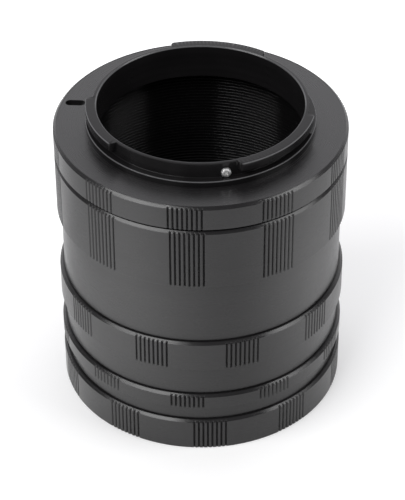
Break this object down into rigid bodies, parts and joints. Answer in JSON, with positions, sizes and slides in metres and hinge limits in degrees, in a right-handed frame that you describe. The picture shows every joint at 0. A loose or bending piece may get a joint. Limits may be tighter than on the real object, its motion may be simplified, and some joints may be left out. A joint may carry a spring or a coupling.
{
  "type": "macro extension tube",
  "caption": "Stack of screwed black aluminium extension tubes with a male camera bayonet on top and a female lens bayonet with a sprung lock below.",
  "frame": {"origin": "centre of the lens seat, which is the bottom of the standing stack", "axes": "+Z along the light path from the lens seat to the camera bayonet, -Y towards the viewer of the picture, +X to the viewer's right"},
  "size_m": [0.06, 0.06, 0.067],
  "materials": {
    "anodised_black": "satin black anodised",
    "plate_chrome": "satin chromed",
    "steel_screw": "bright zinc",
    "polished_steel": "polished",
    "spring_steel": "drawn wire",
    "spring_bronze": "rolled"
  },
  "bodies": {
    "lens_ring": {"lens_ring": "anodised_black", "bayonet_plate": "plate_chrome", "lock_spring": "spring_steel", "plate_screw_1": "steel_screw", "plate_screw_2": "steel_screw", "plate_screw_3": "steel_screw", "plate_screw_4": "steel_screw", "claw_spring_1": "spring_bronze", "claw_spring_2": "spring_bronze", "claw_spring_3": "spring_bronze"},
    "lock": {"lock_pin": "polished_steel", "release_knob": "polished_steel"},
    "tube_7": {"tube_7": "anodised_black"},
    "tube_14": {"tube_14": "anodised_black"},
    "tube_28": {"tube_28": "anodised_black"},
    "camera_ring": {"camera_ring": "anodised_black", "stop_screw": "steel_screw"}
  },
  "joints": [
    {"name": "lock_slide", "type": "slide", "parent": "lens_ring", "child": "lock", "axis": [0, 0, 1], "range_m": [-0.0014, 0.0003], "stiffness_N_per_m": 100, "springref_m": -0.0025, "deforming": ["lock_spring"]},
    {"name": "tube_7_unscrew", "type": "slide", "parent": "lens_ring", "child": "tube_7", "axis": [0, 0, 1], "range_m": [0, 0.008]},
    {"name": "tube_14_unscrew", "type": "slide", "parent": "tube_7", "child": "tube_14", "axis": [0, 0, 1], "range_m": [0, 0.008]},
    {"name": "tube_28_unscrew", "type": "slide", "parent": "tube_14", "child": "tube_28", "axis": [0, 0, 1], "range_m": [0, 0.008]},
    {"name": "camera_ring_unscrew", "type": "slide", "parent": "tube_28", "child": "camera_ring", "axis": [0, 0, 1], "range_m": [0, 0.008]}
  ]
}
